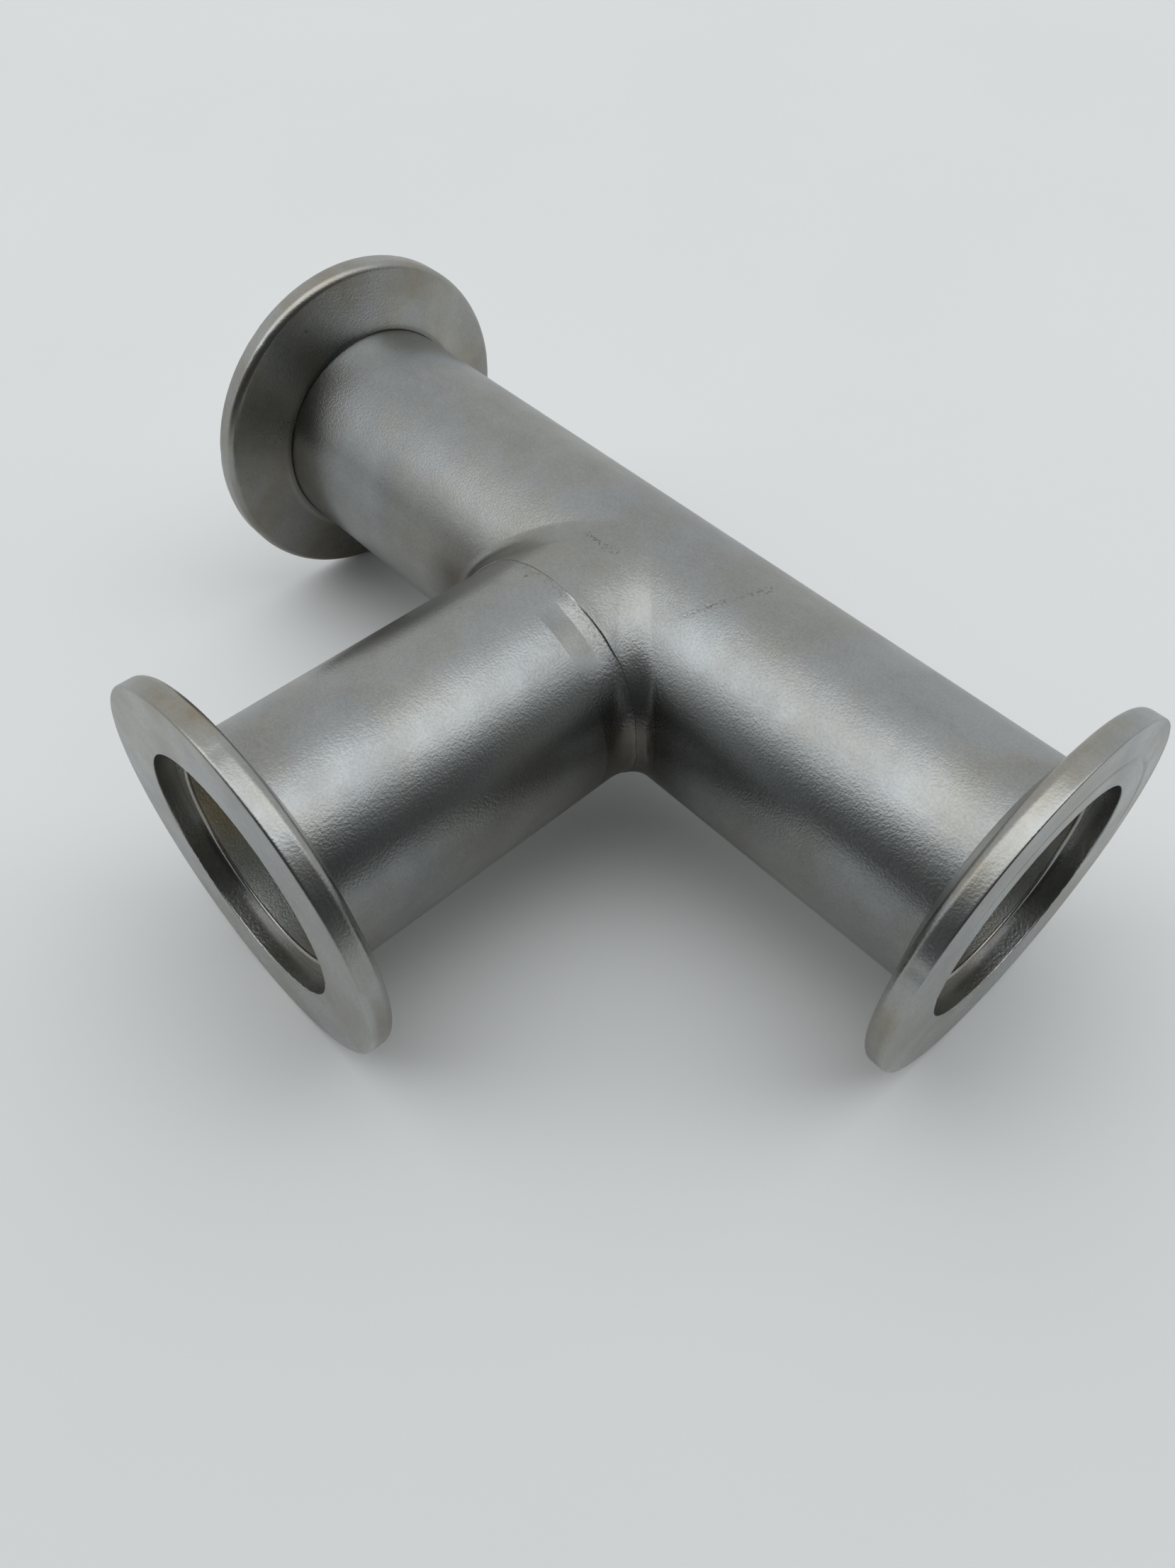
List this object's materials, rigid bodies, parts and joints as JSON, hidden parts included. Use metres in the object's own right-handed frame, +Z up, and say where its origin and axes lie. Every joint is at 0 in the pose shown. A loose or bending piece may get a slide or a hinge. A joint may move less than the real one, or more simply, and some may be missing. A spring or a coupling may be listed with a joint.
{
  "type": "vacuum tee fitting",
  "caption": "Equal tee of welded stainless tube with a round quick-clamp vacuum flange on each of its ports.",
  "frame": {"origin": "where the axis of the run crosses the axis of the branch, inside the run's bore", "axes": "+X along the run towards the right port, -Y along the branch towards its port, +Z up; the plane of the three axes is z = 0"},
  "size_m": [0.1016, 0.0708, 0.04],
  "materials": {
    "tube_steel": "fine bead-blasted stainless, satin",
    "flange_steel": "turned and blasted stainless, satin",
    "weld_steel": "ground butt weld and smooth fused seal welds"
  },
  "bodies": {
    "root": {"run_tube": "tube_steel", "branch_tube": "tube_steel", "branch_weld": "weld_steel", "flange_right": "flange_steel", "flange_left": "flange_steel", "flange_branch": "flange_steel", "seal_weld_right": "weld_steel", "seal_weld_left": "weld_steel", "seal_weld_branch": "weld_steel"}
  },
  "joints": []
}
